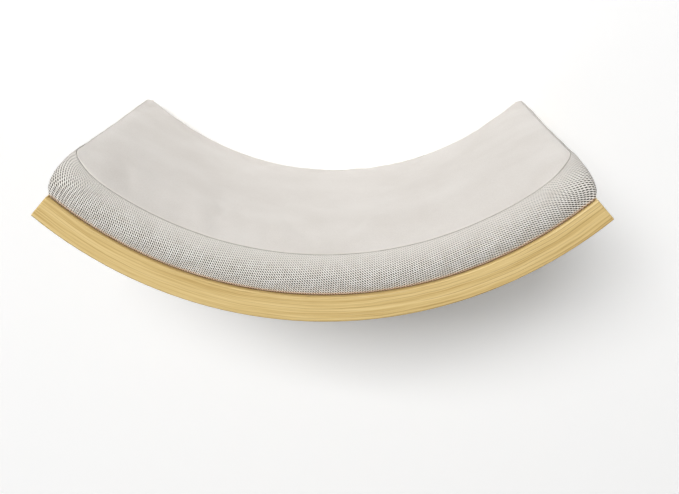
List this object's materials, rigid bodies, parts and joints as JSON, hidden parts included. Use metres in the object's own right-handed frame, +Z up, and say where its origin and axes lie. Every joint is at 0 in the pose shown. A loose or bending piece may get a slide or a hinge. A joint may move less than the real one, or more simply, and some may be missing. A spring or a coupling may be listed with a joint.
{
  "type": "cat wall shelf",
  "caption": "Curved wall shelf for a cat to lie on: bent wooden board on hidden wall brackets, with a thick zipped cushion held in its curve by hook and loop.",
  "frame": {"origin": "on the wall plane, midway between the two upper wall-screw holes", "axes": "+X along the wall to the right as seen from the room, +Y into the wall, +Z up"},
  "size_m": [0.5186, 0.4, 0.2348],
  "materials": {
    "wood_face": "satin",
    "ply_core": "matte",
    "bracket_paint": "satin",
    "screw_steel": "satin",
    "insert_brass": "satin",
    "hook_tape": "matte",
    "loop_tape": "matte",
    "foam": "matte",
    "panel_cloth": "matte",
    "boxing_cloth": "matte",
    "zip_tape": "matte",
    "zip_coil": "satin",
    "zip_metal": "satin"
  },
  "bodies": {
    "shelf": {"board_core": "ply_core", "top_veneer": "wood_face", "underside_veneer": "wood_face", "front_lipping": "wood_face", "end_band_left": "wood_face", "end_band_right": "wood_face", "hook_strips": "hook_tape", "bracket_left": "bracket_paint", "bracket_right": "bracket_paint", "bracket_inserts": "insert_brass", "bracket_bolts": "screw_steel", "bracket_washers": "screw_steel"},
    "cushion": {"foam_core": "foam", "top_panel": "panel_cloth", "front_boxing": "boxing_cloth", "rear_boxing_upper": "boxing_cloth", "rear_boxing_lower": "boxing_cloth", "base_panel": "boxing_cloth", "loop_strips": "loop_tape", "zip_tape_upper": "zip_tape", "zip_tape_lower": "zip_tape", "zip_coil_upper": "zip_coil", "zip_coil_lower": "zip_coil", "zip_end_stops": "zip_metal"},
    "slider": {"zip_slider": "zip_metal"},
    "pull": {"zip_pull": "zip_metal"}
  },
  "joints": [
    {"name": "cushion_lift", "type": "slide", "parent": "shelf", "child": "cushion", "axis": [0, 0, 1], "range_m": [0, 0.15]},
    {"name": "zip_slide", "type": "hinge", "parent": "cushion", "child": "slider", "pos_m": [0, 0, 0.40373], "axis": [0, 1, 0], "range_deg": [0, 60.5]},
    {"name": "pull_swing", "type": "hinge", "parent": "slider", "child": "pull", "pos_m": [0.17518, -0.0207, 0.10576], "axis": [0.5068, 0, -0.8621], "range_deg": [0, 165]}
  ]
}
